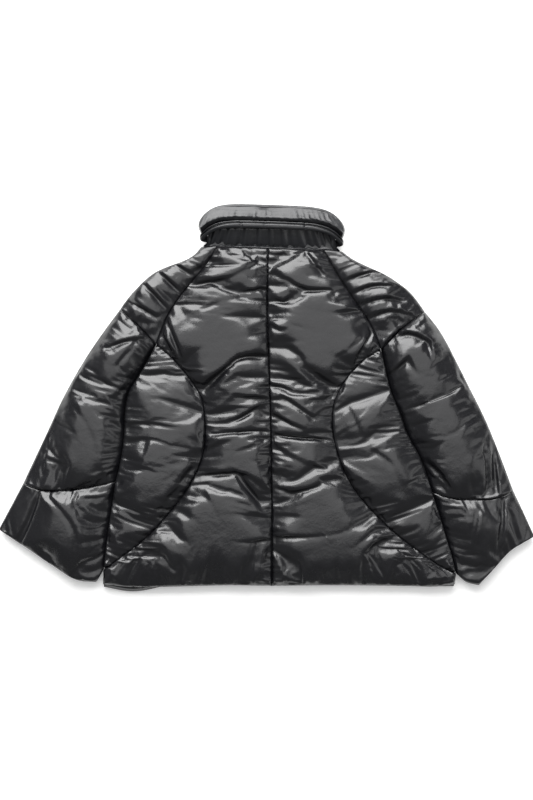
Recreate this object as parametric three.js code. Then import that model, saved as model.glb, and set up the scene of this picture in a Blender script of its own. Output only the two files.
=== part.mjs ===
// Cropped swing puffer jacket laid out flat, front down and back up.
// Millimetres. +X to the wearer's right, +Y towards the collar, +Z up from the surface that it lies on.
import * as THREE from 'three';

// ---- Driving sizes -------------------------------------------------------------------------------------
const SEAM_GAP = 0.3;           // clearance between two pieces that are sewn together
const FRONT_TOP = 12;           // top of the front layer, which lies underneath
const FRONT_EDGE = 3;           // how far the front layer's rims curl up from the surface
const EDGE_CURL = 16;           // width of that curl
const SEAM_HEIGHT = 20.5;       // the back layer is drawn down to this height along its seams
const HEM_HEIGHT = 17;          // and to this height at the hem
const BACK_PUFF = 12;           // how far the padding lifts a back panel between its seams
const SIDE_PUFF = 11;
const PUFF_RUN = 46;            // distance from a seam over which the padding reaches its full height
const SLEEVE_SEAM = 23;         // height of a sleeve where a seam crosses it
const SLEEVE_PUFF = 10;
const CUFF_HEM = 17;
const SLIT = 2.4;               // space left between the two layers inside a sleeve, cuff or yoke
const FOLD_WALL = 9;            // padding at a folded edge, measured across the piece
const ROUNDNESS = 2.6;          // exponent of the rounded oblong that sleeves and collar are cut across in
const UNDERSIDE_FLATNESS = 1.12; // share by which that oblong is pressed past the surface and cut flat
const COLLAR = { centre: 9, halfWidth: 124, slope: -0.035, neckBack: 261.5, neckFront: 226 };
const PLACKET = { left: -17, right: 23 };
const TIP = 4.5;                // length trimmed off the pointed ends of the side panels
const ACROSS_BACK = 10;         // cells across each kind of piece
const ACROSS_SIDE = 8;
const ACROSS_FRONT = 4;
const ROUND_TUBE = 16;
const ROUND_COLLAR = 24;
const RAGLAN_CELLS = 8;         // cells along each kind of seam, the same for both pieces that it joins
const ARC_CELLS = 16;
const SLEEVE_CELLS = 11;
const CUFF_CELLS = ARC_CELLS - SLEEVE_CELLS;
const CORNER_CELLS = 1;

// ---- Seam lines ----------------------------------------------------------------------------------------
/** A short table: the names of its columns, then a row for each point, section or fold. */
const table = (columns, ...rows) => rows.map(
  (row) => Object.fromEntries(columns.split(' ').map((name, i) => [name, row[i]])));

const CENTRE_BACK = table('x y', [3, 261], [1, 160], [4, 67], [7, -22], [9, -150], [10, -325]);

const LEFT = {
  raglan: table('x y', [-87, 262], [-104, 234], [-124, 210], [-148, 181], [-170, 147], [-192, 94]),
  arc: table('x y', [-192, 94], [-166, 74], [-137, 40], [-114, 6], [-107, -35], [-108, -84],
    [-119, -122], [-142, -163], [-172, -201], [-206, -238], [-242, -267], [-283, -296]),
  arm: table('x y', [-192, 94], [-218, 46], [-237, 16], [-245, -15], [-247, -60], [-252, -100], [-262, -144]),
  side: table('x y', [-262, -144], [-270, -195], [-276, -237], [-280, -270], [-283, -296]),
  corner: table('x y', [-283, -296], [-284, -322]),
  hem: table('x y', [-284, -322], [-232, -327], [-150, -326], [-70, -324], [10, -325]),
  frontHem: table('x y', [-284, -328], [-262, -336], [-232, -335], [-200, -325], [-120, -322], [-17, -322]),
  shoulder: table('x y', [-114, 264], [-126, 250], [-148, 239], [-190, 223], [-215, 205], [-236, 182],
    [-255, 156]),
  cap: table('x y', [-255, 156], [-225, 129], [-192, 94]),
  outer: table('x y', [-255, 156], [-288, 111], [-318, 66], [-353, 4], [-382, -59], [-424, -148]),
  cuffOuter: table('x y', [-424, -148], [-444, -186], [-466, -227]),
  cuffSeam: table('x y', [-424, -148], [-396, -157], [-350, -158], [-300, -151], [-262, -144]),
  cuffHem: table('x y', [-466, -227], [-417, -259], [-377, -286], [-344, -306], [-318, -319], [-298, -320],
    [-283, -296]),
};

const RIGHT = {
  raglan: table('x y', [100, 257], [116, 228], [135, 198], [158, 163], [180, 130], [199, 86]),
  arc: table('x y', [199, 86], [178, 75], [156, 56], [135, 30], [119, 0], [114, -40], [119, -79],
    [133, -120], [152, -156], [184, -195], [222, -232], [264, -264], [298, -288], [329, -303]),
  arm: table('x y', [199, 86], [206, 54], [217, 10], [231, -22], [245, -62], [262, -92], [276, -125], [288, -163]),
  side: table('x y', [288, -163], [300, -200], [312, -240], [321, -270], [329, -303]),
  corner: table('x y', [329, -303], [327, -322]),
  hem: table('x y', [327, -322], [300, -326], [234, -325], [120, -324], [10, -325]),
  frontHem: table('x y', [327, -327], [305, -330], [280, -328], [200, -322], [23, -322]),
  shoulder: table('x y', [132, 256], [150, 243], [179, 229], [205, 218], [231, 202], [255, 180], [276, 151]),
  cap: table('x y', [276, 151], [240, 126], [199, 86]),
  outer: table('x y', [276, 151], [302, 118], [330, 66], [352, 22], [379, -32], [403, -90], [429, -159]),
  cuffOuter: table('x y', [429, -159], [446, -195], [466, -239]),
  cuffSeam: table('x y', [429, -159], [408, -170], [375, -174], [320, -172], [288, -163]),
  cuffHem: table('x y', [466, -239], [432, -259], [404, -280], [391, -306], [378, -321], [356, -324], [329, -303]),
};

// Largest folds of the back: a straight run from one end to the other, its half width and its depth.
const BACK_FOLDS = table('x1 y1 x2 y2 width depth',
  [-107, -66, 7, -60, 13, 6],        // crease across the waist
  [8, -64, 114, -76, 13, 6],
  [-114, 14, -52, 76, 15, 6],        // sagging folds above the waist, one each side of the centre seam
  [-52, 76, 0, 74, 12, 4],
  [12, 92, 62, 50, 15, 5],
  [62, 50, 114, 0, 16, 6],
  [-72, -244, 8, -244, 14, 4],       // soft fold where the hem is turned up
  [14, -240, 136, -230, 14, 4]);

// Collar rings from one edge to the other: y at the middle of the back, at both ends and at the middle of the
// front, half width, and the lowest and highest point of the section.
const STAND_OUTER = table('back end front half low high',
  [261.7, 261.7, 226.8, 122, 0, 24.4], [267, 264.5, 238, 116, 0.4, 27], [282, 271, 263, 112, 7, 29],
  [300, 286, 280, 111, 9, 29], [321, 305, 303, 108, 10, 28]);
const STAND_INNER = table('back end front half low high',
  [261.7, 261.7, 226.8, 112, 11, 13.4], [267, 264.5, 238, 107, 11, 13.4], [282, 271, 263, 102, 11.4, 14.6],
  [300, 286, 280, 101, 16, 18.2], [321, 305, 303, 98, 17, 19.2]);
const BAND_OUTER = table('back end front half low high',
  [293, 269, 263, 124, 1.5, 37], [296, 273, 266, 126, 0, 39], [303, 278, 272, 126, 0, 39],
  [306.5, 281, 276, 124, 1.5, 37]);
const BAND_INNER = table('back end front half low high',
  [293, 269, 263, 119, 5, 33], [296, 273, 266, 118, 5, 33], [303, 278, 272, 118, 5, 33],
  [306.5, 281, 276, 118, 5, 33]);
const FALL_OUTER = table('back end front half low high',
  [306.9, 281.4, 276.4, 124, 1.5, 37], [312, 290, 284, 128, 0, 43], [320, 298, 294, 129, 0, 44],
  [329, 309, 306, 124, 2, 41], [334, 320, 318, 113, 7, 35], [336, 326, 325, 104, 14, 28]);
const FALL_INNER = table('back end front half low high',
  [306.9, 281.4, 276.4, 118, 5, 33], [312, 290, 284, 117, 6, 33], [322, 306, 304, 114, 7, 32],
  [323.5, 309, 307, 100, 16, 20], [330, 317, 315, 97, 18, 21], [336, 326, 325, 97, 19.4, 22.6]);
const BACK_BEND = 7;            // how sharply a collar line turns down at its ends, on the back
const FRONT_BEND = 2.2;         // and on the front

// ---- Curves in the plane of the surface ----------------------------------------------------------------
const mix = (a, b, t) => a + (b - a) * t;
const between = (a, b, t) => new THREE.Vector2(mix(a.x, b.x, t), mix(a.y, b.y, t));
const fractions = (cells) => Array.from({ length: cells + 1 }, (_, i) => i / cells);

/** Fractions from 0 to 1 that lie closer together near both ends. */
const crowded = (cells) => fractions(cells).map((t) => mix(t, (1 - Math.cos(Math.PI * t)) / 2, 0.75));

/** Points on a smooth curve through a table's rows, at fractions of its length. */
function stations(rows, places) {
  const curve = new THREE.CatmullRomCurve3(
    rows.map((row) => new THREE.Vector3(row.x, row.y, 0)), false, 'centripetal');
  return places.map((t) => {
    const point = curve.getPointAt(t);
    return new THREE.Vector2(point.x, point.y);
  });
}

/** Two runs of stations end to end, without the shared point twice. */
const join = (first, second) => [...first, ...second.slice(1)];

/** A run of stations whose first and last points are moved in by a length, for a panel with a blunt tip. */
function trimmed(run, length) {
  const last = run.length - 1;
  const start = between(run[0], run[1], length / run[0].distanceTo(run[1]));
  const end = between(run[last], run[last - 1], length / run[last].distanceTo(run[last - 1]));
  return [start, ...run.slice(1, last), end];
}

const straight = (a, b, places) => places.map((t) => between(a, b, t));
const neckBack = (x) => COLLAR.neckBack + COLLAR.slope * (x - COLLAR.centre);

/** The neckline of the front, lower in the middle than at the shoulders. */
function neckFront(x) {
  const reach = Math.min(Math.abs(x - COLLAR.centre) / COLLAR.halfWidth, 1);
  return mix(COLLAR.neckFront, COLLAR.neckBack, reach ** FRONT_BEND) + COLLAR.slope * (x - COLLAR.centre);
}

/** Moves four sides that meet at their corners inwards, so that neighbours keep a gap. */
function inset(sides, amount) {
  const loop = [...sides.start.slice(0, -1), ...sides.right.slice(0, -1),
    ...sides.end.slice(1).reverse(), ...sides.left.slice(1).reverse()];
  const count = loop.length;
  const area = loop.reduce((sum, p, i) => sum + p.cross(loop[(i + 1) % count]), 0);
  const turn = Math.sign(area);
  const normal = (a, b) => new THREE.Vector2(a.y - b.y, b.x - a.x).normalize().multiplyScalar(turn);
  const moved = loop.map((point, i) => {
    const before = normal(loop[(i + count - 1) % count], point);
    const after = normal(point, loop[(i + 1) % count]);
    const along = before.clone().add(after).normalize();
    const reach = amount / Math.max(along.dot(after), 0.35);
    return point.clone().addScaledVector(along, reach);
  });
  const across = sides.start.length - 1;
  const rows = sides.right.length - 1;
  const take = (from, length) => Array.from({ length: length + 1 }, (_, i) => moved[(from + i) % count]);
  return {
    start: take(0, across),
    right: take(across, rows),
    end: take(across + rows, across).reverse(),
    left: take(2 * across + rows, rows).reverse(),
  };
}

/** The plan of a panel: a grid of points that blends its four sides. */
function patch(sides) {
  const { start, end, left, right } = sides;
  const rows = left.length - 1;
  const across = start.length - 1;
  return left.map((_, j) => start.map((__, i) => {
    const u = i / across;
    const v = j / rows;
    const uStart = start[0].distanceTo(start[i]) / start[0].distanceTo(start[across]);
    const uEnd = end[0].distanceTo(end[i]) / end[0].distanceTo(end[across]);
    const reach = mix(uStart, uEnd, v) || u;
    const sidesBlend = between(left[j], right[j], reach);
    const endsBlend = between(start[i], end[i], v);
    const corners = between(between(start[0], start[across], reach), between(end[0], end[across], reach), v);
    return sidesBlend.add(endsBlend).sub(corners);
  }));
}

/** Distance from a point to a run of stations. */
function distanceTo(point, run) {
  let nearest = Infinity;
  for (let i = 0; i + 1 < run.length; i += 1) {
    const step = run[i + 1].clone().sub(run[i]);
    const along = THREE.MathUtils.clamp(point.clone().sub(run[i]).dot(step) / step.lengthSq(), 0, 1);
    nearest = Math.min(nearest, point.distanceTo(run[i].clone().addScaledVector(step, along)));
  }
  return nearest;
}

/** Share of its full height that padding has at a distance from a seam. */
const puff = (distance, run) => Math.sqrt(1 - (1 - Math.min(distance / run, 1)) ** 2);

/** Depth that the large folds take off the back at a point. */
function foldDepth(point) {
  return BACK_FOLDS.reduce((depth, fold) => {
    const ends = [new THREE.Vector2(fold.x1, fold.y1), new THREE.Vector2(fold.x2, fold.y2)];
    return Math.max(depth, fold.depth * Math.exp(-((distanceTo(point, ends) / fold.width) ** 2)));
  }, 0);
}

// ---- Walls ---------------------------------------------------------------------------------------------
/** One closed body between an outer and an inner grid of points; closed grids join their first column. */
function wall(outer, inner, closed) {
  const rows = outer.length;
  const columns = outer[0].length;
  const points = [...outer.flat(), ...inner.flat()];
  const at = (layer, j, i) => layer * rows * columns + j * columns + (i % columns);
  const faces = [];
  const quad = (a, b, c, d) => faces.push(a, b, c, a, c, d);
  const lastColumn = closed ? columns : columns - 1;
  for (let j = 0; j + 1 < rows; j += 1) {
    for (let i = 0; i < lastColumn; i += 1) {
      quad(at(0, j, i), at(0, j, i + 1), at(0, j + 1, i + 1), at(0, j + 1, i));
      quad(at(1, j, i), at(1, j + 1, i), at(1, j + 1, i + 1), at(1, j, i + 1));
    }
  }
  for (let i = 0; i < lastColumn; i += 1) {
    quad(at(0, 0, i), at(1, 0, i), at(1, 0, i + 1), at(0, 0, i + 1));
    quad(at(0, rows - 1, i), at(0, rows - 1, i + 1), at(1, rows - 1, i + 1), at(1, rows - 1, i));
  }
  if (!closed) {
    for (let j = 0; j + 1 < rows; j += 1) {
      quad(at(0, j, 0), at(0, j + 1, 0), at(1, j + 1, 0), at(1, j, 0));
      quad(at(0, j, columns - 1), at(1, j, columns - 1), at(1, j + 1, columns - 1), at(0, j + 1, columns - 1));
    }
  }
  let volume = 0;
  for (let f = 0; f < faces.length; f += 3) {
    const [a, b, c] = [points[faces[f]], points[faces[f + 1]], points[faces[f + 2]]];
    volume += a.dot(b.clone().cross(c));
  }
  const geometry = new THREE.BufferGeometry().setFromPoints(points);
  geometry.setIndex(volume > 0 ? faces : faces.reverse());
  geometry.computeVertexNormals();
  return geometry;
}

const lift = (point, z) => new THREE.Vector3(point.x, point.y, z);

/** A padded back panel: flat below, drawn down at its seams and hem above. */
function backPanel(sides, puffHeight, withFolds) {
  const drawn = inset(sides, SEAM_GAP / 2);
  const plan = patch(drawn);
  const seams = [drawn.left, drawn.right, drawn.start];
  const bottom = FRONT_TOP + SEAM_GAP;
  const top = plan.map((row) => row.map((point) => {
    const seamShare = puff(Math.min(...seams.map((run) => distanceTo(point, run))), PUFF_RUN);
    const hemShare = withFolds ? puff(distanceTo(point, drawn.end), PUFF_RUN / 2) : 1;
    const base = mix(HEM_HEIGHT, SEAM_HEIGHT, hemShare);
    const fold = withFolds ? foldDepth(point) * seamShare : 0;
    return lift(point, base + puffHeight * seamShare * hemShare - fold);
  }));
  return wall(top, plan.map((row) => row.map((point) => lift(point, bottom))), false);
}

/** A front panel, which lies underneath: flat on the surface, with rims that curl up a little. */
function frontPanel(sides) {
  const drawn = inset(sides, SEAM_GAP / 2);
  const plan = patch(drawn);
  const rim = [drawn.left, drawn.right, drawn.start, drawn.end];
  const bottom = plan.map((row) => row.map((point) => {
    const nearest = Math.min(...rim.map((run) => distanceTo(point, run)));
    return lift(point, FRONT_EDGE * (1 - puff(nearest, EDGE_CURL)));
  }));
  return wall(plan.map((row) => row.map((point) => lift(point, FRONT_TOP))), bottom, false);
}

/** Share of the way across, and of the full height, at a place round a rounded oblong. */
function oblong(angle) {
  const power = 2 / ROUNDNESS;
  const c = Math.cos(angle);
  const s = Math.sin(angle);
  return {
    across: (1 - Math.sign(c) * Math.abs(c) ** power) / 2,
    height: Math.sign(s) * Math.abs(s) ** power,
  };
}

const HALF_ROUND = ROUND_TUBE / 2;

/** Places round a sleeve, cuff or yoke: out across the upper layer, and back across the lower one. */
const ROUND_PLACES = Array.from({ length: ROUND_TUBE + 1 }, (_, k) => ({
  column: k <= HALF_ROUND ? k : ROUND_TUBE - k,
  ...oblong((Math.PI * k) / HALF_ROUND),
}));

/** Shares of the way across at which the ends of sleeves, cuffs and yokes have their points. */
const ROUND_SHARES = ROUND_PLACES.slice(0, HALF_ROUND + 1).map((place) => place.across);

/** A point at any share of the way across a row that has its points at ROUND_SHARES. */
function pointAcross(row, share) {
  const cell = Math.max(0, ROUND_SHARES.slice(0, -1).findLastIndex((at) => at <= share));
  return between(row[cell], row[cell + 1],
    (share - ROUND_SHARES[cell]) / (ROUND_SHARES[cell + 1] - ROUND_SHARES[cell]));
}

/** How far the slit's edge stays back from a folded edge, fading out by a quarter of the way across. */
const heldBack = (share, margin) => margin * Math.max(0, 1 - 4 * share);

const LAYER_MIDDLE = FRONT_TOP + SEAM_GAP / 2;
const upper = (height, high) => LAYER_MIDDLE + (high - LAYER_MIDDLE) * height;
const lower = (height) => Math.max(0, LAYER_MIDDLE * (1 + UNDERSIDE_FLATNESS * height));

/** A flattened sleeve or cuff: a tube round a slit, from heights at its first and last row. */
function tube(sides, startHeight, endHeight, puffHeight) {
  const drawn = inset(sides, SEAM_GAP / 2);
  const plan = patch(drawn);
  const outer = [];
  const inner = [];
  plan.forEach((row, j) => {
    const centre = row[HALF_ROUND / 2];
    const margin = FOLD_WALL / row[0].distanceTo(row[HALF_ROUND]);
    const toEnds = Math.min(distanceTo(centre, drawn.start), distanceTo(centre, drawn.end));
    const high = mix(startHeight, endHeight, j / (plan.length - 1)) + puffHeight * puff(toEnds, PUFF_RUN);
    const ring = ROUND_PLACES.slice(0, ROUND_TUBE);
    outer.push(ring.map(({ column, height }) => lift(
      row[column], height > 0 ? upper(height, high) : lower(height))));
    inner.push(ring.map(({ across, height }) => lift(
      pointAcross(row, across + heldBack(across, margin) - heldBack(1 - across, margin)),
      LAYER_MIDDLE + (SLIT / 2) * height)));
  });
  return wall(outer, inner, true);
}

/** A shoulder yoke: one layer from the back seam over the fold of the shoulder to the front seam. */
function yoke(backSides, frontSides) {
  const back = inset(backSides, SEAM_GAP / 2);
  const backPlan = patch(back);
  const frontPlan = patch(inset(frontSides, SEAM_GAP / 2));
  const outer = [];
  const inner = [];
  backPlan.forEach((backRow, j) => {
    const margin = FOLD_WALL / backRow[0].distanceTo(backRow[HALF_ROUND]);
    const line = { outer: [], inner: [] };
    ROUND_PLACES.forEach(({ column, across, height }, k) => {
      const onBack = k <= HALF_ROUND;
      const row = onBack ? backRow : frontPlan[j];
      const point = row[column];
      // Next to the raglan seams the layers stay open, so only the outer half of the oblong is followed.
      const open = across < 0.5 ? Math.sign(HALF_ROUND - k) : height;
      const nearest = Math.min(distanceTo(point, back.left), distanceTo(point, back.start),
        distanceTo(point, back.end));
      const high = SEAM_HEIGHT + SIDE_PUFF * puff(nearest, PUFF_RUN);
      const underside = column === 0 ? FRONT_EDGE : lower(open);
      line.outer.push(lift(point, onBack ? upper(open, high) : underside));
      line.inner.push(lift(
        pointAcross(row, across - heldBack(1 - across, margin)), LAYER_MIDDLE + (SLIT / 2) * open));
    });
    outer.push(line.outer);
    inner.push(line.inner);
  });
  return wall(outer, inner, false);
}

/** A ring of the collar for each row of a table. */
function collarRings(rows) {
  return rows.map((row) => Array.from({ length: ROUND_COLLAR }, (_, k) => {
    const { across, height } = oblong((2 * Math.PI * k) / ROUND_COLLAR);
    const reach = 2 * across - 1;
    const x = COLLAR.centre + row.half * reach;
    const onBack = height >= 0;
    const y = mix(onBack ? row.back : row.front, row.end, Math.abs(reach) ** (onBack ? BACK_BEND : FRONT_BEND));
    const centre = (row.low + row.high) / 2;
    const z = centre + ((row.high - row.low) / 2) * height;
    return new THREE.Vector3(x, y + COLLAR.slope * (x - COLLAR.centre), z);
  }));
}

// ---- Pieces --------------------------------------------------------------------------------------------
const centreCells = RAGLAN_CELLS + ARC_CELLS + CORNER_CELLS;

/** All the runs of stations that the pieces of one side share. */
function seamRuns(half) {
  const raglan = stations(half.raglan, fractions(RAGLAN_CELLS));
  raglan[0].y = neckBack(raglan[0].x);
  const arc = stations(half.arc, fractions(ARC_CELLS));
  const arm = stations(half.arm, fractions(SLEEVE_CELLS));
  const side = stations(half.side, fractions(CUFF_CELLS));
  const corner = stations(half.corner, fractions(CORNER_CELLS));
  const frontRaglan = raglan.map((point) => point.clone());
  frontRaglan[0].y = neckFront(frontRaglan[0].x);
  frontRaglan[1].lerp(frontRaglan[2], 0.4);
  return { raglan, frontRaglan, arc, arm, side, corner };
}

const centreBack = stations(CENTRE_BACK, fractions(centreCells));
centreBack[0].y = neckBack(centreBack[0].x);

function centrePanel(half, runs) {
  const places = crowded(ACROSS_BACK);
  return backPanel({
    left: join(join(runs.raglan, runs.arc), runs.corner),
    right: centreBack,
    start: straight(runs.raglan[0], centreBack[0], places),
    end: stations(half.hem, places),
  }, BACK_PUFF, true);
}

function sidePanel(runs) {
  const places = crowded(ACROSS_SIDE);
  const left = trimmed(join(runs.arm, runs.side), TIP);
  const right = trimmed(runs.arc, TIP);
  const last = left.length - 1;
  return backPanel({
    left, right,
    start: straight(left[0], right[0], places),
    end: straight(left[last], right[last], places),
  }, SIDE_PUFF, false);
}

function shoulder(half, runs) {
  const fold = stations(half.shoulder, fractions(RAGLAN_CELLS));
  const cap = stations(half.cap, ROUND_SHARES).reverse();
  const sidesFor = (raglan) => ({
    left: raglan,
    right: fold,
    start: straight(raglan[0], fold[0], ROUND_SHARES),
    end: cap,
  });
  return yoke(sidesFor(runs.raglan), sidesFor(runs.frontRaglan));
}

function sleeve(half, runs) {
  return tube({
    left: stations(half.outer, fractions(SLEEVE_CELLS)),
    right: runs.arm,
    start: stations(half.cap, ROUND_SHARES),
    end: stations(half.cuffSeam, ROUND_SHARES),
  }, SLEEVE_SEAM, SLEEVE_SEAM, SLEEVE_PUFF);
}

function cuff(half, runs) {
  return tube({
    left: stations(half.cuffOuter, fractions(CUFF_CELLS)),
    right: runs.side,
    start: stations(half.cuffSeam, ROUND_SHARES),
    end: stations(half.cuffHem, ROUND_SHARES),
  }, SLEEVE_SEAM, CUFF_HEM, SLEEVE_PUFF);
}

/** Stations down a straight front edge from the neckline to the hem. */
function frontEdge(x, hemY) {
  return straight(new THREE.Vector2(x, neckFront(x)), new THREE.Vector2(x, hemY), fractions(centreCells));
}

function front(half, runs, edgeX) {
  const places = crowded(ACROSS_FRONT);
  const hem = stations(half.frontHem, places);
  const right = frontEdge(edgeX, hem[hem.length - 1].y);
  const left = join(join(join(runs.frontRaglan, runs.arm), runs.side),
    straight(runs.side[runs.side.length - 1], hem[0], fractions(CORNER_CELLS)));
  const start = places.map((t) => {
    const x = mix(left[0].x, edgeX, t);
    return new THREE.Vector2(x, neckFront(x));
  });
  return frontPanel({ left, right, start, end: hem });
}

function placket() {
  const places = fractions(2);
  const left = frontEdge(PLACKET.left, LEFT.frontHem.at(-1).y);
  const right = frontEdge(PLACKET.right, RIGHT.frontHem.at(-1).y);
  return frontPanel({
    left, right,
    start: straight(left[0], right[0], places),
    end: straight(left.at(-1), right.at(-1), places),
  });
}

// ---- Cloth ---------------------------------------------------------------------------------------------
const cloth = (color, roughness) => new THREE.MeshStandardMaterial({ color, roughness, metalness: 0 });
const shellNylon = cloth(0x1b1b1f, 0.28);
const collarNylon = cloth(0x26272b, 0.3);
const bandNylon = cloth(0x1f2024, 0.34);

const jacket = new THREE.Group();

function add(name, geometry, material) {
  const mesh = new THREE.Mesh(geometry, material);
  mesh.name = name;
  jacket.add(mesh);
}

for (const [suffix, half, edgeX] of [['left', LEFT, PLACKET.left], ['right', RIGHT, PLACKET.right]]) {
  const runs = seamRuns(half);
  add(`back_centre_${suffix}`, centrePanel(half, runs), shellNylon);
  add(`back_side_${suffix}`, sidePanel(runs), shellNylon);
  add(`shoulder_${suffix}`, shoulder(half, runs), shellNylon);
  add(`sleeve_${suffix}`, sleeve(half, runs), shellNylon);
  add(`cuff_${suffix}`, cuff(half, runs), shellNylon);
  add(`front_${suffix}`, front(half, runs, edgeX), shellNylon);
}
add('front_placket', placket(), shellNylon);
add('collar_stand', wall(collarRings(STAND_OUTER), collarRings(STAND_INNER), true), collarNylon);
add('collar_fall', wall(collarRings(FALL_OUTER), collarRings(FALL_INNER), true), collarNylon);
add('collar_band', wall(collarRings(BAND_OUTER), collarRings(BAND_INNER), true), bandNylon);

// The origin is the middle of the jacket's box, on the surface.
const box = new THREE.Box3().setFromObject(jacket);
const middle = box.getCenter(new THREE.Vector3());
jacket.position.set(-middle.x, -middle.y, -box.min.z);

export default jacket;
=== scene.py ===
import math

import bmesh
import bpy
import numpy as np
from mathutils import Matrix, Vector


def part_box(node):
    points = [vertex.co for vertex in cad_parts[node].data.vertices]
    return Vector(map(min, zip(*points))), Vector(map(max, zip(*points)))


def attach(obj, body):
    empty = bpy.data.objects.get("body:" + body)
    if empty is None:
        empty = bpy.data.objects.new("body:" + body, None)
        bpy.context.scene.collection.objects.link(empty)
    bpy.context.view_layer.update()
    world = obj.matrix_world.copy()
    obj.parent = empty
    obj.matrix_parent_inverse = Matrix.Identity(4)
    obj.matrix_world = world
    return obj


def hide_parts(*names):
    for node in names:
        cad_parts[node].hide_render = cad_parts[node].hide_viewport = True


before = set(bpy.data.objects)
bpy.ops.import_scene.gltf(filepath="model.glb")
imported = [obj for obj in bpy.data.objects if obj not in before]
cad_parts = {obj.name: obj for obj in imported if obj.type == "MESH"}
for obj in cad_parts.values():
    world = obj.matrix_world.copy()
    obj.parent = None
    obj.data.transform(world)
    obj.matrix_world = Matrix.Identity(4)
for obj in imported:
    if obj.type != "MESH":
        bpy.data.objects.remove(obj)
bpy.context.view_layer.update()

MM = 0.001
CELL = 3.4 * MM     # width of a fold of cloth that the meshes can hold
HIDDEN_CELL = 7 * MM                                # the same for the front, which lies underneath
LAYER_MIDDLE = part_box("front_left")[1].z + 0.15 * MM   # half way between the front and the back layer
MERGE = 0.05 * MM                                   # points of a CAD piece that are nearer than this are one
ROUNDNESS = 2.6         # exponent of the rounded oblong that a sleeve is across
FLATNESS = 1.12         # share by which its underside is pressed past the floor and cut flat
KINK = math.radians(40)                             # a sharper turn of a seam stays a corner
BACK_PIECES = ["back_centre_left", "back_centre_right", "back_side_left", "back_side_right"]
TUBE_PIECES = ["shoulder_left", "shoulder_right", "sleeve_left", "sleeve_right", "cuff_left", "cuff_right"]
FRONT_PIECES = ["front_left", "front_right", "front_placket"]
COLLAR_CLOTH = {"collar_stand": "collar_nylon", "collar_fall": "collar_nylon", "collar_band": "band_nylon"}
STEEPEST = {"shoulder": 0.25, "sleeve": 0.1, "cuff": 0.1}   # steepest faces of a sleeve's upper side
SLIT = 1.2 * MM         # half the height of the open slit inside a sleeve
FOLD_WALL = 9 * MM      # padding at its folded edges

# Cloth
PRESSURE = 30
SURPLUS = 0.06          # share by which the cloth is longer than the flat piece
CLOTH_STEPS = 18
WEIGHT_STEPS = 25       # steps in which a vertex group's weights are held
PUFF_RUN = 46 * MM      # distance from a seam at which the padding has its full height
FIRST_PUFF = 0.75       # share of that height from which the cloth starts
HIGHEST = 40 * MM
SOFT_LIMIT = 0.15       # share of the greatest height over which the cloth is eased towards it
PUCKER = 3.2 * MM
AFTER = 0.55            # share of the main creases that is added again once the cloth has settled

# Collar, in mm
COLLAR_MIDDLE = 9       # x of the middle of the collar
COLLAR_HALF = 124       # half its width
FALL_SEAM = 310         # y of the seam between fall and band at the middle
STAND_MIDDLE = 262      # y of the neck seam
FALL_TOP = 42           # height of the fall at its lower edge
FALL_DROP = 13          # how much lower its outer edge is


# ---- Camera, light and floor ---------------------------------------------------------------------------
def studio():
    """A camera straight above, three softboxes and a white paper floor."""
    scene = bpy.context.scene
    scene.view_settings.view_transform = "Standard"
    camera = bpy.data.objects.new("camera", bpy.data.cameras.new("camera"))
    scene.collection.objects.link(camera)
    scene.camera = camera
    distance, view_height, sensor = 2.3, 1.4, 36
    camera.data.sensor_width = sensor
    camera.data.lens = sensor * distance / view_height
    camera.location = (0, -3 * MM, distance)

    world = bpy.data.worlds.new("studio")
    scene.world = world
    world.use_nodes = True
    world.node_tree.nodes["Background"].inputs["Color"].default_value = (0.97, 0.98, 1, 1)
    world.node_tree.nodes["Background"].inputs["Strength"].default_value = 0.22

    def softbox(name, size, place, aim, radiance):
        light = bpy.data.lights.new(name, "AREA")
        light.shape = "RECTANGLE"
        light.size, light.size_y = size
        light.energy = radiance * math.pi * size[0] * size[1]
        lamp = bpy.data.objects.new(name, light)
        lamp.location = place
        lamp.rotation_euler = (Vector(aim) - Vector(place)).to_track_quat("-Z", "Y").to_euler()
        scene.collection.objects.link(lamp)

    softbox("window", (3.2, 2.7), (-0.4, 2.4, 1.7), (0, 0.1, 0), 7.5)
    softbox("ceiling", (3.4, 2.3), (0, 0.66, 2.75), (0, 0.6, 0), 1.25)
    softbox("fill", (1.2, 2.0), (2.4, -0.2, 1.3), (0, 0, 0), 1.0)

    bm = bmesh.new()
    bmesh.ops.create_grid(bm, x_segments=1, y_segments=1, size=6)
    mesh = bpy.data.meshes.new("floor")
    bm.to_mesh(mesh)
    bm.free()
    floor = bpy.data.objects.new("floor", mesh)
    floor.location.z = -0.3 * MM
    scene.collection.objects.link(floor)
    paper = bpy.data.materials.new("paper")
    paper.use_nodes = True
    shader = paper.node_tree.nodes["Principled BSDF"]
    shader.inputs["Base Color"].default_value = (0.93, 0.93, 0.92, 1)
    shader.inputs["Roughness"].default_value = 0.9
    shader.inputs["Emission Color"].default_value = (1, 1, 1, 1)
    shader.inputs["Emission Strength"].default_value = 0.22
    floor.data.materials.append(paper)


# ---- Materials -----------------------------------------------------------------------------------------
def linear(hex_colour):
    """The linear colour and alpha of an sRGB hex value."""
    channels = [int(hex_colour[i:i + 2], 16) / 255 for i in (1, 3, 5)]
    return [c / 12.92 if c <= 0.04045 else ((c + 0.055) / 1.055) ** 2.4 for c in channels] + [1]


def node(tree, kind, settings=None, links=None):
    """Adds a node with its settings, and links {input: (node, output)}."""
    made = tree.nodes.new(kind)
    for key, value in (settings or {}).items():
        if key in made.inputs:
            made.inputs[key].default_value = value
        else:
            setattr(made, key, value)
    for key, (source, output) in (links or {}).items():
        tree.links.new(source.outputs[output], made.inputs[key])
    return made


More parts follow.
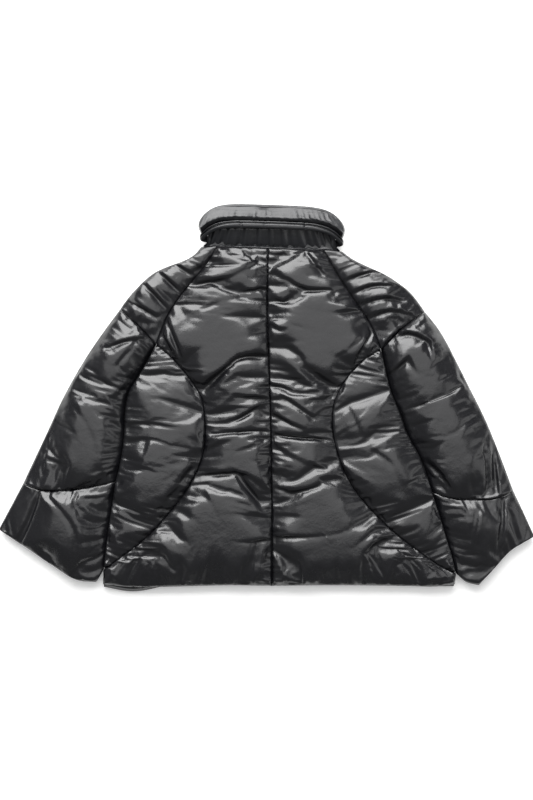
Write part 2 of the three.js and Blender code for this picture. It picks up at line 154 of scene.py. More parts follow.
def glossy_nylon(name, colour, roughness, coat=0.35):
    """Calendered nylon taffeta: woven, then pressed between hot rollers, so that it shines as if wet.

    The pressing is uneven, which shows as duller and brighter patches. The crinkle is that of thin cloth over
    light padding. The thread, at about 0.2 mm, is too fine to show and is drawn at 2.5 mm.
    """
    material = bpy.data.materials.new(name)
    material.use_nodes = True
    tree = material.node_tree
    shader = tree.nodes["Principled BSDF"]
    shader.inputs["Base Color"].default_value = linear(colour)
    shader.inputs["IOR"].default_value = 1.53
    shader.inputs["Coat Weight"].default_value = coat
    shader.inputs["Coat Roughness"].default_value = 0.2
    place = node(tree, "ShaderNodeTexCoord")
    patches = node(tree, "ShaderNodeTexNoise", {"Scale": 1 / (70 * MM), "Detail": 3.0},
                   {"Vector": (place, "Object")})
    pressed = node(tree, "ShaderNodeMapRange",
                   {"From Min": 0.3, "From Max": 0.7, "To Min": roughness - 0.05, "To Max": roughness + 0.09},
                   {"Value": (patches, "Fac")})
    crinkle = node(tree, "ShaderNodeTexNoise", {"Scale": 1 / (22 * MM), "Detail": 4.0, "Roughness": 0.55},
                   {"Vector": (place, "Object")})
    thread = node(tree, "ShaderNodeTexNoise", {"Scale": 1 / (2.5 * MM), "Detail": 1.0},
                  {"Vector": (place, "Object")})
    folds = node(tree, "ShaderNodeBump", {"Strength": 0.5, "Distance": 2.2 * MM},
                 {"Height": (crinkle, "Fac")})
    tooth = node(tree, "ShaderNodeBump", {"Strength": 0.3, "Distance": 0.12 * MM},
                 {"Height": (thread, "Fac"), "Normal": (folds, "Normal")})
    tree.links.new(pressed.outputs["Result"], shader.inputs["Roughness"])
    tree.links.new(tooth.outputs["Normal"], shader.inputs["Normal"])
    return material


# ---- Reading the seams from the frame ------------------------------------------------------------------
def edge_loop(node_name):
    """The points round the upper side of a CAD piece, in order."""
    bm = bmesh.new()
    bm.from_mesh(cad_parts[node_name].data)
    bmesh.ops.remove_doubles(bm, verts=bm.verts[:], dist=MERGE)
    bm.normal_update()
    hollow = node_name in TUBE_PIECES
    lowest = LAYER_MIDDLE / 2 if node_name in FRONT_PIECES else LAYER_MIDDLE
    steepest = STEEPEST.get(node_name.partition("_")[0], 0.02)

    def in_slit(vert):
        return hollow and 0.05 * MM < abs(vert.co.z - LAYER_MIDDLE) < 1.1 * SLIT

    unseen = [f for f in bm.faces if f.normal.z < steepest or f.calc_center_median().z < lowest
              or any(in_slit(vert) for vert in f.verts)]
    bmesh.ops.delete(bm, geom=unseen, context="FACES")
    edge = next(e for e in bm.edges if e.is_boundary)
    vert = edge.verts[0]
    loop = [vert]
    for _ in bm.verts:
        vert = edge.other_vert(vert)
        if vert is loop[0]:
            break
        loop.append(vert)
        edge = next(e for e in vert.link_edges if e.is_boundary and e is not edge)
    points = np.array([v.co for v in loop])
    bm.free()
    return points


# Corners of each kind of piece, each as the direction in which it lies farthest: away from the centre back,
# and towards the collar.
CORNERS = {
    #               top outer    top inner   bottom inner  bottom outer
    "back_centre": ((0.2, 1), (-1, 1), (-1, -1), (1, -1)),
    "back_side": ((3, 4), (-1, 2), (-1, -3), (3, -1)),
    "shoulder": ((0.4, 1), (-1, 1), (-0.4, -1), (1, -0.6)),
    "sleeve": ((0.3, 1), (-1, 0.3), (-1, -1), (1, -0.5)),
    "cuff": ((1, 1), (-1, 0.5), (-1, -0.4), (1, 0)),
    "front": ((0.3, 1), (-1, 1), (-1, -1), (1, -1)),
}


def four_sides(node_name):
    """The sides of a piece between its corners: start and end run inwards, outer and inner run down."""
    kind, _, hand = node_name.rpartition("_")
    outwards = 1 if hand == "right" else -1
    loop = edge_loop(node_name)
    at = [int(np.argmax(loop[:, 0] * outwards * out + loop[:, 1] * up)) for out, up in CORNERS[kind]]
    count = len(loop)
    after_first = [(i - at[0]) % count for i in at]
    if after_first[1] > after_first[3]:
        loop = loop[::-1]
        at = [count - 1 - i for i in at]

    def run(first, last):
        steps = (at[last] - at[first]) % count
        return np.array([loop[(at[first] + k) % count] for k in range(steps + 1)])

    return {"start": run(0, 1), "inner": run(1, 2), "end": run(2, 3)[::-1], "outer": run(3, 0)[::-1]}


def smooth_line(points, count):
    """Evenly spaced points on a smooth curve through the given ones, which keeps sharp corners sharp."""
    steps = np.diff(points, axis=0)
    lengths = np.linalg.norm(steps, axis=1)
    slopes = steps / lengths[:, None]
    before, after = slopes.copy(), slopes.copy()      # slope at the first and at the last end of each step
    for i in range(1, len(points) - 1):
        turn = math.acos(max(-1, min(1, float(slopes[i - 1] @ slopes[i]))))
        if turn < KINK:
            blend = (slopes[i - 1] * lengths[i] + slopes[i] * lengths[i - 1]) / (lengths[i] + lengths[i - 1])
            after[i - 1] = before[i] = blend
    fine = []
    t = np.linspace(0, 1, 12, endpoint=False)[:, None]
    for i, step in enumerate(steps):
        h = lengths[i]
        fine.append(points[i] * (2 * t ** 3 - 3 * t ** 2 + 1) + points[i + 1] * (3 * t ** 2 - 2 * t ** 3)
                    + before[i] * h * (t ** 3 - 2 * t ** 2 + t) + after[i] * h * (t ** 3 - t ** 2))
    fine = np.vstack([*fine, points[-1:]])
    return at_shares(fine, np.linspace(0, 1, count))


def at_shares(line, shares):
    """Points of a line at shares of its length."""
    run = np.concatenate([[0], np.cumsum(np.linalg.norm(np.diff(line, axis=0), axis=1))])
    return np.stack([np.interp(shares * run[-1], run, line[:, k]) for k in range(3)], axis=1)


def length_of(line):
    """Length of a line of points, in metres."""
    return float(np.linalg.norm(np.diff(line, axis=0), axis=1).sum())


def patch(sides, rows, shares):
    """A grid of points that blends four sides, with its columns at the given shares of the way across."""
    outer, inner = smooth_line(sides["outer"], rows), smooth_line(sides["inner"], rows)
    start = at_shares(smooth_line(sides["start"], 200), shares)
    end = at_shares(smooth_line(sides["end"], 200), shares)
    v = np.linspace(0, 1, rows)[:, None, None]
    u = shares[None, :, None]
    corners = ((1 - v) * ((1 - u) * outer[0] + u * inner[0])
               + v * ((1 - u) * outer[-1] + u * inner[-1]))
    return ((1 - u) * outer[:, None] + u * inner[:, None]
            + (1 - v) * start[None] + v * end[None] - corners)


def distance_to_lines(points, lines):
    """Distance in plan from each point of a grid to the nearest of some lines, both in metres."""
    flat = points.reshape(-1, 3)[:, :2]
    nearest = np.full(len(flat), 1e9)
    for line in lines:
        for a, b in zip(line[:-1, :2], line[1:, :2]):
            step = b - a
            along = np.clip((flat - a) @ step / max(step @ step, 1e-12), 0, 1)
            nearest = np.minimum(nearest, np.linalg.norm(flat - a - along[:, None] * step, axis=1))
    return nearest.reshape(points.shape[:2])


def puff(distance, run):
    """Share of its full height that padding has at a distance from a seam."""
    return np.sqrt(1 - (1 - np.minimum(distance / run, 1)) ** 2)


# ---- Meshes --------------------------------------------------------------------------------------------
def grid_mesh(points):
    """A bmesh grid with its vertices at the given rows and columns of points, numbered row by row."""
    rows, columns = points.shape[:2]
    bm = bmesh.new()
    bmesh.ops.create_grid(bm, x_segments=columns - 1, y_segments=rows - 1, size=0.5)
    for vert in bm.verts:
        i = round((vert.co.x + 0.5) * (columns - 1))
        j = round((vert.co.y + 0.5) * (rows - 1))
        vert.index = j * columns + i
    bm.verts.sort()
    bm.verts.ensure_lookup_table()
    for vert, place in zip(bm.verts, points.reshape(-1, 3)):
        vert.co = place
    return bm


def as_piece(name, bm):
    """A smooth object of a bmesh, with its faces pointing outwards."""
    bmesh.ops.recalc_face_normals(bm, faces=bm.faces[:])
    mesh = bpy.data.meshes.new(name)
    bm.to_mesh(mesh)
    bm.free()
    mesh.shade_smooth()
    piece = bpy.data.objects.new(f"{name}_cloth", mesh)
    bpy.context.scene.collection.objects.link(piece)
    return piece


def read_points(mesh):
    """The points of a mesh as rows."""
    flat = np.zeros(len(mesh.vertices) * 3)
    mesh.vertices.foreach_get("co", flat)
    return flat.reshape(-1, 3)


def weigh(piece, name, weights):
    """Gives a piece a vertex group with the given weights and returns its name."""
    group = piece.vertex_groups.new(name=name)
    steps = np.round(weights * WEIGHT_STEPS).astype(int)
    for step in range(1, WEIGHT_STEPS + 1):
        chosen = np.flatnonzero(steps == step).tolist()
        if chosen:
            group.add(chosen, step / WEIGHT_STEPS, "REPLACE")
    return name


def cloth_over(name, points, pinned, taut):
    """A sheet of cloth to be blown up: pinned holds it, and taut is where it has no surplus."""
    bm = grid_mesh(points)
    piece = as_piece(name, bm)
    if sum(face.normal.z for face in piece.data.polygons) < 0:
        piece.data.flip_normals()
    s = piece.modifiers.new("cloth", "CLOTH").settings
    s.vertex_group_mass = weigh(piece, "pinned", pinned.reshape(-1))
    s.vertex_group_shrink = weigh(piece, "taut", taut.reshape(-1))
    s.quality = 5
    s.mass = 0.001
    s.tension_stiffness = s.compression_stiffness = 40
    s.shear_stiffness = 10
    s.bending_stiffness = 0.5
    s.tension_damping = s.compression_damping = s.shear_damping = 5
    s.bending_damping = 0.5
    s.air_damping = 1.0
    s.use_pressure = True
    s.uniform_pressure_force = PRESSURE
    s.shrink_min = -SURPLUS
    s.shrink_max = 0
    s.effector_weights.gravity = 0
    piece.modifiers["cloth"].collision_settings.use_collision = False
    piece.modifiers["cloth"].collision_settings.use_self_collision = False
    return piece


def blow_up(sheets):
    """Runs the cloth of all sheets together and returns the points that each comes to, taking each away."""
    scene = bpy.context.scene
    for step in range(1, CLOTH_STEPS + 1):
        scene.frame_set(step)
    settled = {}
    for name, sheet in sheets.items():
        result = sheet.evaluated_get(bpy.context.evaluated_depsgraph_get()).to_mesh()
        settled[name] = read_points(result)
        mesh = sheet.data
        bpy.data.objects.remove(sheet)
        bpy.data.meshes.remove(mesh)
    scene.frame_set(1)
    return settled


# Main creases. Each has a line of points, the height and width of the soft ridge on its left, and the depth
# and width of the trough on its right, all in mm.
CREASES = [
    # upper back
    ([(-137, 195), (-69, 209), (-18, 237), (-14, 253)], 5, 14, 4, 8),
    ([(-133, 218), (-85, 245)], 4, 12, 4, 8),
    ([(-46, 185), (2, 193)], 4, 9, 3, 6),
    ([(-137, 137), (-85, 165), (-38, 178), (-14, 184)], 4, 16, 3, 9),
    ([(-116, 15), (-76, 55), (-52, 74), (-25, 78), (2, 73)], 9, 34, 9, 12),
    ([(118, -5), (90, 27), (65, 50), (45, 76), (25, 92), (8, 91)], 4, 10, 10, 19),
    ([(10, 222), (40, 205), (66, 190), (113, 186)], 5, 15, 4, 9),
    ([(10, 176), (32, 168), (45, 178)], 3, 8, 4, 6),
    ([(53, 162), (129, 148), (164, 157)], 4, 13, 3, 8),
    ([(8, 128), (28, 120), (42, 122)], 4, 8, 4, 6),
    ([(69, 253), (102, 211)], 5, 9, 5, 6),
    ([(40, 132), (85, 118)], 3, 12, 3, 8),
    ([(117, 74), (164, 108)], 5, 10, 4, 7),
    ([(-15, 21), (17, 23), (48, 15)], 3, 7, 4, 5),
    ([(-60, 8), (-30, 3), (0, 2)], 4, 12, 4, 6),
    ([(-63, -39), (-40, -27), (-17, -13)], 4, 10, 3, 6),
    ([(25, 7), (55, -12), (86, -34)], 4, 11, 3, 6),
    ([(11, -24), (40, -40), (69, -52)], 4, 10, 3, 6),
    # waist
    ([(6, -60), (-45, -62), (-112, -68)], 3, 8, 6, 5),
    ([(120, -76), (60, -72), (11, -66)], 3, 8, 6, 5),
    ([(-107, -90), (-80, -78), (-48, -71)], 4, 9, 3, 6),
    ([(-57, -92), (-30, -84), (-6, -73)], 4, 9, 3, 6),
    ([(11, -76), (35, -94), (62, -107), (104, -124)], 4, 10, 4, 7),
    ([(-122, -134), (-70, -130), (-32, -134), (-13, -148)], 4, 20, 3, 8),
    ([(-63, -115), (-35, -150), (-11, -183)], 3, 12, 3, 8),
    ([(14, -150), (50, -160), (96, -150)], 3, 14, 3, 8),
    ([(-109, -157), (-85, -200), (-60, -242)], 4, 16, 3, 9),
    ([(-73, -244), (-35, -246), (6, -244)], 4, 18, 4, 7),
    ([(15, -239), (80, -236), (136, -230)], 4, 18, 4, 7),
    ([(136, -262), (180, -232), (214, -250)], 3, 12, 3, 8),
    # round the armholes
    ([(-171, 140), (-155, 100), (-141, 52)], 4, 12, 4, 7),
    ([(-183, 116), (-165, 88), (-148, 59)], 4, 9, 3, 6),
    ([(150, 60), (168, 96), (186, 122)], 4, 9, 3, 6),
    # side panels
    ([(-204, -72), (-216, -120)], 4, 12, 3, 9),
    ([(-197, -199), (-141, -127), (-117, -80)], 4, 16, 3, 10),
    ([(176, -80), (205, -100), (239, -150)], 5, 14, 4, 9),
    ([(144, -9), (160, -40), (172, -67)], 4, 12, 3, 8),
    # yokes
    ([(-190, 223), (-144, 183)], 5, 8, 4, 6), ([(-162, 235), (-128, 214)], 4, 8, 4, 5),
    ([(-217, 206), (-171, 157)], 5, 9, 4, 6), ([(-239, 172), (-186, 141)], 5, 9, 4, 6),
    ([(146, 184), (190, 196), (231, 195)], 5, 9, 4, 6), ([(137, 205), (180, 220), (216, 219)], 4, 8, 4, 6),
    ([(155, 162), (200, 174), (242, 170)], 5, 9, 4, 6), ([(172, 139), (215, 152), (255, 144)], 5, 9, 4, 6),
    # sleeves
    ([(-282, 87), (-240, 100), (-205, 106)], 5, 12, 4, 7), ([(-262, 55), (-228, 100)], 5, 11, 4, 7),
    ([(-273, -6), (-240, 30), (-221, 60)], 5, 12, 4, 8),
    ([(-330, -10), (-300, -60), (-290, -130)], 4, 16, 3, 10),
    ([(199, 83), (220, 108), (250, 112), (280, 98), (290, 62)], 6, 14, 4, 9),
    ([(210, 40), (245, 70), (262, 40)], 5, 13, 4, 8), ([(276, -102), (300, -125), (319, -153)], 5, 12, 4, 8),
    ([(396, -73), (401, -120), (403, -169)], 4, 7, 4, 5),
    ([(378, -70), (384, -110), (388, -160)], 3, 7, 3, 5),
    # cuffs
    ([(-377, -166), (-330, -225), (-326, -283)], 4, 10, 5, 7),
    ([(414, -172), (408, -220), (402, -262)], 4, 9, 5, 7),
    ([(365, -195), (356, -248)], 4, 10, 3, 7),
]


def across_lines(points, line):
    """How far each point of a grid is to the left of a line seen from above, and its share along it."""
    flat = points.reshape(-1, 3)[:, :2]
    run = np.concatenate([[0], np.cumsum(np.linalg.norm(np.diff(line[:, :2], axis=0), axis=1))])
    nearest = np.full(len(flat), 1e9)
    side, share = np.zeros(len(flat)), np.zeros(len(flat))
    for k, (a, b) in enumerate(zip(line[:-1, :2], line[1:, :2])):
        step = b - a
        along = (flat - a) @ step / (step @ step)
        away = flat - a - np.clip(along, 0, 1)[:, None] * step
        gap = np.linalg.norm(away, axis=1)
        closer = gap < nearest
        turn = step[0] * (flat[:, 1] - a[1]) - step[1] * (flat[:, 0] - a[0])
        nearest = np.where(closer, gap, nearest)
        side = np.where(closer, np.sign(turn) * gap, side)
        share = np.where(closer, (run[k] + np.clip(along, 0, 1) * np.linalg.norm(step)) / run[-1], share)
    return side.reshape(points.shape[:2]), share.reshape(points.shape[:2])


def creased(points, distance):
    """Height that the main creases add to a grid of points, fading out at its seams."""
    height = np.zeros(points.shape[:2])
    low, high = points.reshape(-1, 3).min(axis=0), points.reshape(-1, 3).max(axis=0)
    for corners, rise, rise_run, dip, dip_run in CREASES:
        line = np.array([(x * MM, y * MM, 0) for x, y in corners])
        reach = 3 * max(rise_run, dip_run) * MM
        if (line.max(axis=0) + reach < low)[:2].any() or (line.min(axis=0) - reach > high)[:2].any():
            continue
        line = smooth_line(line, 24)
        side, share = across_lines(points, line)
        fade = np.sqrt(np.sin(np.pi * share)) * np.minimum(distance / (6 * MM), 1)
        ridge = rise * MM * np.exp(-(np.maximum(side, 0) / (rise_run * MM)) ** 1.5)
        trough = dip * MM * np.exp(-(side / (dip_run * MM)) ** 2)
        blend = 0.5 + 0.5 * np.tanh(side / (0.45 * dip_run * MM))
        height += fade * (ridge * blend - trough * (1 - blend * 0.8))
    return height


def gathered(grid, sides, lengths=(9, 14, 23)):
    """Height of the short puckers that run into a piece from its seams, uneven in size and spacing."""
    rows, columns = grid.shape[:2]
    height = np.zeros((rows, columns))
    for seed, (side, axis) in enumerate((("outer", 0), ("inner", 0), ("start", 1), ("end", 1))):
        line = smooth_line(sides[side], 80)
        if length_of(line) < 100 * MM:
            continue
        away = distance_to_lines(grid, [line])
        at = np.linspace(0, length_of(line), rows if axis == 0 else columns) / MM
        wave = sum(np.sin(2 * np.pi * at / long + 2.1 * seed + 3.3 * k + 1.7 * np.sin(at / (31 + 9 * k)))
                   for k, long in enumerate(lengths)) / len(lengths)
        strong = 0.6 + 0.4 * np.sin(at / 47 + seed)
        reach = (13 + 7 * np.sin(at / 19 + 2 * seed)) * MM
        if axis == 0:
            wave, strong, reach = wave[:, None], strong[:, None], reach[:, None]
        height += PUCKER * wave * strong * np.exp(-away / reach) * np.minimum(away / (3 * MM), 1)
    return height


def ripple(points, length):
    """Uneven waves from -1 to 1 over points, with crests about a length apart."""
    x, y = points[..., 0] / length, points[..., 1] / length
    bent = 0.9 * np.sin(2.3 * y + 1.1) + 0.7 * np.sin(3.7 * x - 1.3 * y)
    return (np.sin(4.1 * x + 2.6 * y + 1.8 * bent) + np.sin(2.2 * x - 5.3 * y + 2.4 * bent + 2)
            + np.sin(5.9 * x + 1.4 * y - 1.5 * bent + 4)) / 3


def calmed(points):
    """Smooths heights where the grid is finer than the folds that padded cloth can make."""
    z = points[..., 2]
    for axis in (0, 1):
        z = np.moveaxis(z, axis, 0)
        place = np.moveaxis(points[..., :2], axis, 0)
        gap = np.linalg.norm(place[2:] - place[:-2], axis=-1) / 2
        share = np.clip((2.5 * MM - gap) / (1.2 * MM), 0, 1)
        for _ in range(8):
            z[1:-1] += 0.5 * share * ((z[2:] + z[:-2]) / 2 - z[1:-1])
        z = np.moveaxis(z, 0, axis)
    return points


# ---- Padded pieces -------------------------------------------------------------------------------------
def eased(grid, rounds):
    """A grid with its inside evened out, so that a corner on its edge does not run across it."""
    grid = grid.copy()
    for _ in range(rounds):
        grid[1:-1, 1:-1, :2] = (grid[:-2, 1:-1, :2] + grid[2:, 1:-1, :2]
                                + grid[1:-1, :-2, :2] + grid[1:-1, 2:, :2]) / 4
    return grid


def upper_grid(name):
    """The grid of a piece's upper side, its four sides, and each column's share of the way across."""
    sides = four_sides(name)
    outer, inner = smooth_line(sides["outer"], 60), smooth_line(sides["inner"], 60)
    rows = round(max(length_of(outer), length_of(inner)) / CELL) + 1
    columns = round(max(np.linalg.norm(outer - inner, axis=1)) / CELL) + 1
    shares = np.linspace(0, 1, columns)
    if name in TUBE_PIECES:
        shares = shares + 0.6 * (0.5 - 0.5 * np.cos(np.pi * shares) - shares)
    grid = eased(patch(sides, rows, shares), 120)
    return grid, sides, shares


def plan_back(name):
    """The sheet that a back panel is blown up from, with what holds it."""
    grid, sides, shares = upper_grid(name)
    distance = distance_to_lines(grid, [smooth_line(sides[k], 80) for k in sides])
    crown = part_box(name)[1].z - grid[..., 2].max()
    start = grid.copy()
    start[..., 2] += (FIRST_PUFF * crown * puff(distance, PUFF_RUN) + creased(grid, distance)
                      + gathered(grid, sides))
    pinned = (distance < 0.3 * MM).astype(float)
    return start, distance, pinned, np.zeros(distance.shape), grid, shares


def plan_tube(name):
    """The sheet that the upper side of a yoke, sleeve or cuff is blown up from, with what holds it."""
    grid, sides, shares = upper_grid(name)
    ends = distance_to_lines(grid, [smooth_line(sides[k], 80) for k in ("start", "end")])
    folds = distance_to_lines(grid, [smooth_line(sides[k], 80) for k in ("outer", "inner")])
    height = oblong(shares)
    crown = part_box(name)[1].z - grid[..., 2].max()
    start = grid.copy()
    start[..., 2] += FIRST_PUFF * crown * puff(ends, PUFF_RUN) * height[None]
    distance = np.minimum(ends, folds)
    start[..., 2] += creased(grid, distance) + gathered(grid, sides) * height[None]
    pinned = (distance < 0.3 * MM).astype(float)
    taut = 1 - np.clip(folds / (30 * MM), 0, 1)
    return start, distance, pinned, taut, grid, shares


def held_in(start, settled, distance, grid):
    """Keeps settled cloth between its own seams and under the height limit, with its creases deepened."""
    moved = settled - start
    sideways = np.linalg.norm(moved[..., :2], axis=2)
    limit = 0.75 * distance + 1e-9
    moved[..., :2] *= np.minimum(1, limit / np.maximum(sideways, 1e-9))[..., None]
    result = start + moved
    calmed(result)
    inside = np.minimum(distance / (12 * MM), 1)
    result[..., 2] += AFTER * creased(grid, distance)
    result[..., 2] += inside * (1.5 * MM * ripple(grid, 110 * MM) + 0.5 * MM * ripple(grid, 38 * MM))
    excess = np.maximum(result[..., 2] - (1 - SOFT_LIMIT) * HIGHEST, 0)
    result[..., 2] -= excess - SOFT_LIMIT * HIGHEST * np.tanh(excess / (SOFT_LIMIT * HIGHEST))
    result[..., 2] = np.maximum(result[..., 2], np.minimum(start[..., 2], LAYER_MIDDLE + 1.5 * MM))
    return result


def close_below(bm, floor_height):
    """Takes the edge of an open sheet straight down to a height and closes it there."""
    edges = [e for e in bm.edges if e.is_boundary]
    made = bmesh.ops.extrude_edge_only(bm, edges=edges)["geom"]
    for vert in (g for g in made if isinstance(g, bmesh.types.BMVert)):
        vert.co.z = floor_height
    bmesh.ops.edgeloop_fill(bm, edges=[e for e in bm.edges if e.is_boundary])


def slab(name, points):
    """A back panel: its upper sheet, closed straight down to the front layer."""
    bm = grid_mesh(points)
    close_below(bm, LAYER_MIDDLE)
    return as_piece(name, bm)


def row_at(row, shares, places):
    """Points of one row of a grid at other places across it."""
    return np.stack([np.interp(places, shares, row[:, k]) for k in range(3)], axis=1)


def oblong(shares):
    """Share of its full height that a rounded oblong has at shares of the way across it."""
    return (1 - np.abs(2 * shares - 1) ** ROUNDNESS) ** (1 / ROUNDNESS)


def tube(name, upper, grid, shares):
    """A flat sleeve: the upper sheet, a plain lower sheet on the floor, and an open slit inside."""
    across = (1 - np.cos(np.pi * np.linspace(0, 1, 25))) / 2
    lower = np.stack([row_at(row, shares, across) for row in grid])
    lower[..., 2] = np.maximum(0, LAYER_MIDDLE * (1 - FLATNESS * oblong(across)))[None]
    lower[:, 0], lower[:, -1] = upper[:, 0], upper[:, -1]
    margin = np.minimum(FOLD_WALL / np.linalg.norm(grid[:, 0] - grid[:, -1], axis=1), 0.3)[:, None]
    inner = []
    for places, facing in ((shares, 1), (across, -1)):
        inside = places[None] * (1 - 2 * margin) + margin
        sheet = np.stack([row_at(row, shares, at) for row, at in zip(grid, inside)])
        sheet[..., 2] = LAYER_MIDDLE + facing * SLIT * oblong(places)
        inner.append(sheet)
    ends = [np.stack([outside[row], inside[row]]) for outside, inside in zip((upper, lower), inner)
            for row in (0, -1)]
    bm = bmesh.new()
    add_sheets(bm, upper, lower, *inner, *ends)
    return as_piece(name, bm)


# Creases in the underside of the fronts, which lie on the floor: points in mm, depth and width in mm.
UNDER_CREASES = [
    ([(-60, 170), (-110, 150), (-170, 155)], 3, 8), ([(-50, 90), (-120, 96), (-190, 70)], 4, 10),
    ([(-45, 10), (-100, -4), (-150, 4)], 3, 7), ([(-60, -90), (-150, -70), (-230, -96)], 4, 11),
    ([(-50, -180), (-120, -196), (-200, -180)], 3, 9), ([(-90, -290), (-170, -280), (-240, -290)], 3, 9),
    ([(60, 180), (120, 164), (170, 140)], 3, 8), ([(50, 60), (120, 74), (200, 60)], 4, 10),
    ([(55, -30), (110, -20), (150, -34)], 3, 7), ([(60, -120), (140, -104), (240, -120)], 4, 11),
    ([(60, -210), (130, -220), (210, -200)], 3, 9), ([(100, -285), (180, -278), (260, -284)], 3, 9),
]


def front_piece(name):
    """A front panel, which lies flat on the floor under the back."""
    sides = four_sides(name)
    outer, inner = smooth_line(sides["outer"], 60), smooth_line(sides["inner"], 60)
    rows = round(max(length_of(outer), length_of(inner)) / HIDDEN_CELL) + 1
    columns = max(9, round(max(np.linalg.norm(outer - inner, axis=1)) / HIDDEN_CELL) + 1)
    grid = patch(sides, rows, (1 - np.cos(np.pi * np.linspace(0, 1, columns))) / 2)
    distance = distance_to_lines(grid, [smooth_line(sides[k], 80) for k in sides])
    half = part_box(name)[1].z / 2
    round_edge = puff(distance, 12 * MM)
    round_edge[0] = round_edge[-1] = round_edge[:, 0] = round_edge[:, -1] = 0
    top, bottom = grid.copy(), grid.copy()
    top[..., 2] = half * (1 + round_edge)
    bottom[..., 2] = half * (1 - round_edge)
    for corners, dip, run in UNDER_CREASES:
        line = smooth_line(np.array([(x * MM, y * MM, 0) for x, y in corners]), 16)
        side, share = across_lines(grid, line)
        bottom[..., 2] += (dip * MM * np.exp(-(side / (run * MM)) ** 2) * np.sqrt(np.sin(np.pi * share))
                           * np.minimum(distance / (15 * MM), 1) * (round_edge > 0))
    bm = bmesh.new()
    add_sheets(bm, top, bottom)
    return as_piece(name, bm)


def add_sheets(bm, *sheets):
    """Adds grids of points as sheets that are joined where their edges meet."""
    skin = bmesh.new()
    for sheet in sheets:
        made = grid_mesh(sheet)
        mesh = bpy.data.meshes.new("sheet")
        made.to_mesh(mesh)
        made.free()
        skin.from_mesh(mesh)
        bpy.data.meshes.remove(mesh)
    bmesh.ops.remove_doubles(skin, verts=skin.verts[:], dist=0.02 * MM)
    mesh = bpy.data.meshes.new("skin")
    skin.to_mesh(mesh)
    skin.free()
    bm.from_mesh(mesh)
    bpy.data.meshes.remove(mesh)


def collar_seam(x):
    """Where the band meets the fall, in mm."""
    slant, end_drop = 0.035, 26
    out = x - COLLAR_MIDDLE
    return FALL_SEAM - slant * out - end_drop * np.abs(out / COLLAR_HALF) ** 5


def collar_folds(name, points):
    """How far a part of the collar is drawn in, in mm: gathers along its seams, and soft dents."""
    x, y = points[:, 0] / MM, points[:, 1] / MM
    up = y - collar_seam(x)
    if name == "collar_fall":
        lean = x + 0.004 * x * up
        gather = (np.sin(lean / 1.7 + 1.5 * np.sin(x / 13)) + np.sin(lean / 3.1 + 2 * np.sin(x / 23) + 1)) / 2
        crowd = 0.4 + 0.6 * np.exp(-((x + 28) / 26) ** 2) + 0.6 * np.exp(-((x - 72) / 24) ** 2)
        reach = 9 + 4 * np.sin(x / 9 + 2)
        notch = np.exp(-((x + 6) / 9) ** 2) * np.clip((up - 14) / 10, 0, 1) * 3.5
        broad = 1.2 + 0.9 * np.sin(x / 14 + 1.2 * np.sin(x / 31)) + 0.3 * ripple(points, 90 * MM)
        return 2.6 * (1 + gather) / 2 * crowd * np.exp(-np.maximum(up, 0) / reach) * 1.6 + broad + notch
    if name == "collar_stand":
        lean = x * (1 + 0.004 * (y - STAND_MIDDLE))
        gather = (np.sin(lean / 2.1 + 1.9 * np.sin(x / 17)) + np.sin(lean / 4.3 + 2 * np.sin(x / 29) + 2)) / 2
        return 2.2 * (1 + gather) + 0.6 * (1 + ripple(points, 70 * MM))
    ticks = sum(np.exp(-((x - at) / 1.8) ** 2) for at in (-44, -2, 67))
    groove = np.exp(-((up + 8) / 1.6) ** 2)
    return 1.8 * ticks + 3 * groove + 0.3 * (1 + ripple(points, 45 * MM))


def collar_slope(name, points, upward):
    """Heights of a part of the collar: the fall slopes to its outer edge, the stand to the neck."""
    x, y = points[:, 0] / MM, points[:, 1] / MM
    up = y - collar_seam(x)
    if name == "collar_fall":
        wanted = (FALL_TOP - FALL_DROP * np.clip((up + 7) / 33, 0, 1) ** 1.7) * MM
        across = np.clip((up + 9) / 13, 0, 1)
        raised = upward * across ** 2 * (3 - 2 * across)
        return points[:, 2] + raised * (wanted - points[:, 2])
    if name == "collar_stand":
        sunk = 0.3 * np.clip(292 - y, 0, 30) * MM * np.clip((306 - y) / 10, 0, 1) * (y > 240)
        return points[:, 2] - upward * sunk
    return points[:, 2]


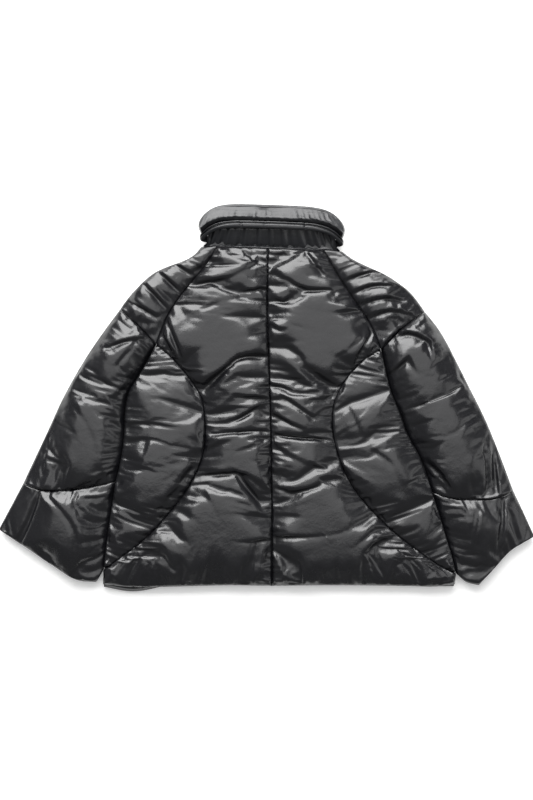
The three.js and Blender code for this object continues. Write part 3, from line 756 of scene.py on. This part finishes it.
def collar_piece(name):
    """A ring of the collar: the CAD ring, with finer cloth that is gathered where it is sewn."""
    bm = bmesh.new()
    bm.from_mesh(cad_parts[name].data)
    bmesh.ops.remove_doubles(bm, verts=bm.verts[:], dist=MERGE)
    bmesh.ops.join_triangles(bm, faces=bm.faces[:], angle_face_threshold=3, angle_shape_threshold=3)
    piece = as_piece(name, bm)
    smooth = piece.modifiers.new("smooth", "SUBSURF")
    smooth.levels = smooth.render_levels = 3
    fine = bpy.data.meshes.new_from_object(piece.evaluated_get(bpy.context.evaluated_depsgraph_get()))
    piece.modifiers.clear()
    piece.data = fine
    bm = bmesh.new()
    bm.from_mesh(fine)
    seen = {e for f in bm.faces if f.normal.z > 0.1 and f.calc_center_median().y > 250 * MM for e in f.edges}
    bmesh.ops.subdivide_edges(bm, edges=sorted(seen, key=lambda e: e.index), cuts=1, use_grid_fill=True)
    bm.to_mesh(fine)
    bm.free()
    fine.shade_smooth()
    points = read_points(fine)
    normals = np.zeros(points.size)
    fine.vertices.foreach_get("normal", normals)
    normals = normals.reshape(-1, 3)
    upward = np.clip(normals[:, 2] * 1.5, 0, 1)
    drawn_in = collar_folds(name, points) * MM * upward
    points[:, 2] = collar_slope(name, points, upward)
    points -= normals * drawn_in[:, None]
    points[:, 2] = np.maximum(points[:, 2], 0)
    fine.vertices.foreach_set("co", points.reshape(-1))
    fine.update()
    return piece


studio()
materials = {
    "shell_nylon": glossy_nylon("shell_nylon", "#0f0f12", 0.27),
    "collar_nylon": glossy_nylon("collar_nylon", "#1a1b1e", 0.36, 0.1),
    "band_nylon": glossy_nylon("band_nylon", "#151619", 0.32),
}

plans = {name: plan_back(name) for name in BACK_PIECES}
plans.update({name: plan_tube(name) for name in TUBE_PIECES})
sheets = {name: cloth_over(name, start, pinned, taut)
          for name, (start, _, pinned, taut, _, _) in plans.items()}
settled = blow_up(sheets)

pieces = {}
for name, (start, distance, _, _, grid, shares) in plans.items():
    points = held_in(start, settled[name].reshape(start.shape), distance, grid)
    if name in BACK_PIECES:
        pieces[name] = slab(name, points)
    else:
        pieces[name] = tube(name, points, grid, shares)
for name in COLLAR_CLOTH:
    pieces[name] = collar_piece(name)
for name in FRONT_PIECES:
    pieces[name] = front_piece(name)

for name, piece in pieces.items():
    slot = COLLAR_CLOTH.get(name, "shell_nylon")
    piece.data.materials.append(materials[slot])
    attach(piece, "root")
    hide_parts(name)
